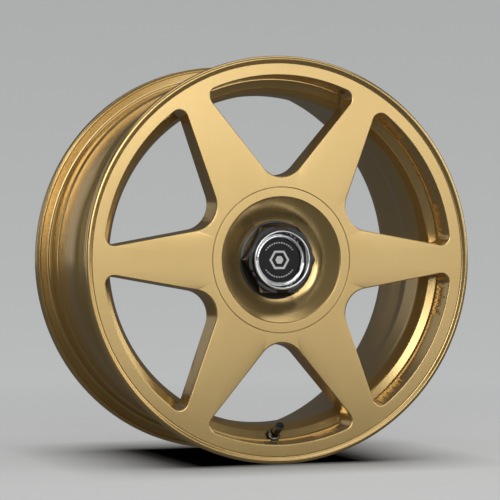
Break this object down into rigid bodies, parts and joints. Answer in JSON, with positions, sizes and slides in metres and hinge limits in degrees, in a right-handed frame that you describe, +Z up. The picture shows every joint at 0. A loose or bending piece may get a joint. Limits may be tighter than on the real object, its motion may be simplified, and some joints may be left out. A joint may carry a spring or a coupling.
{
  "type": "racing wheel rim",
  "caption": "Gold forged racing wheel with flush spokes, a dished centre cover held by a large hexagonal nut with a bright ring, and a tyre valve.",
  "frame": {"origin": "the wheel's centre: on the axle, halfway between the two flange lips", "axes": "+Y along the axle towards the car, -Y the outer face, +Z up, +X to the right seen from the outer face"},
  "size_m": [0.4966, 0.2408, 0.4966],
  "materials": {
    "face_gold": "satin metallic gold paint on forged aluminium",
    "barrel_gold": "satin metallic gold paint on spun aluminium",
    "gloss_black": "gloss black anodised aluminium",
    "emblem_black": "black domed badge",
    "chrome": "polished",
    "machined_aluminium": "fine turned",
    "dark_metal": "gunmetal",
    "spring_steel": "oiled spring steel",
    "brass": "turned brass",
    "black_rubber": "matt",
    "black_plastic": "moulded"
  },
  "bodies": {
    "wheel": {"rim_barrel": "barrel_gold", "spoke_disc": "face_gold", "hub_ring": "black_plastic", "cap_adapter": "machined_aluminium", "adapter_snap_ring": "spring_steel", "adapter_dowel_1": "spring_steel", "adapter_dowel_2": "spring_steel", "cover_seal": "black_rubber", "valve_stem": "dark_metal", "valve_inner_seal": "black_rubber", "valve_grommet": "black_rubber", "valve_washer": "machined_aluminium", "valve_nut": "dark_metal", "valve_core_body": "brass", "valve_core_packing": "black_rubber", "valve_core_spring": "spring_steel"},
    "cover": {"cover_plate": "face_gold", "nut_washer": "black_plastic"},
    "nut": {"hex_nut": "gloss_black", "trim_ring": "chrome", "emblem_disc": "emblem_black", "nut_snap_ring": "spring_steel"},
    "cap_lift": {"valve_cap_seal": "black_rubber"},
    "valve_cap": {"valve_cap": "dark_metal"},
    "core_pin": {"valve_core_pin": "brass", "valve_core_seal": "black_rubber"}
  },
  "joints": [
    {"name": "cover_lift", "type": "slide", "parent": "wheel", "child": "cover", "axis": [0, -1, 0], "range_m": [0, 0.01201]},
    {"name": "nut_turn", "type": "hinge", "parent": "cover", "child": "nut", "pos_m": [0, 0, 0], "axis": [0, -1, 0], "range_deg": [0, 2160]},
    {"name": "cap_lift", "type": "slide", "parent": "wheel", "child": "cap_lift", "axis": [0, -0.8949, 0.4462], "range_m": [0, 0.00476]},
    {"name": "cap_turn", "type": "hinge", "parent": "cap_lift", "child": "valve_cap", "pos_m": [0, -0.08605, -0.2153], "axis": [0, -0.8949, 0.4462], "range_deg": [0, 2161]},
    {"name": "core_press", "type": "slide", "parent": "wheel", "child": "core_pin", "axis": [0, 0.8949, -0.4462], "range_m": [0, 0.0012], "stiffness_N_per_m": 900, "springref_m": -0.002, "deforming": ["valve_core_spring"]}
  ],
  "couplings": [
    {"joint": "cover_lift", "follows": "nut_turn", "m_per_rad": 0.00031831},
    {"joint": "cap_turn", "follows": "cap_lift", "rad_per_m": 7915.8}
  ]
}
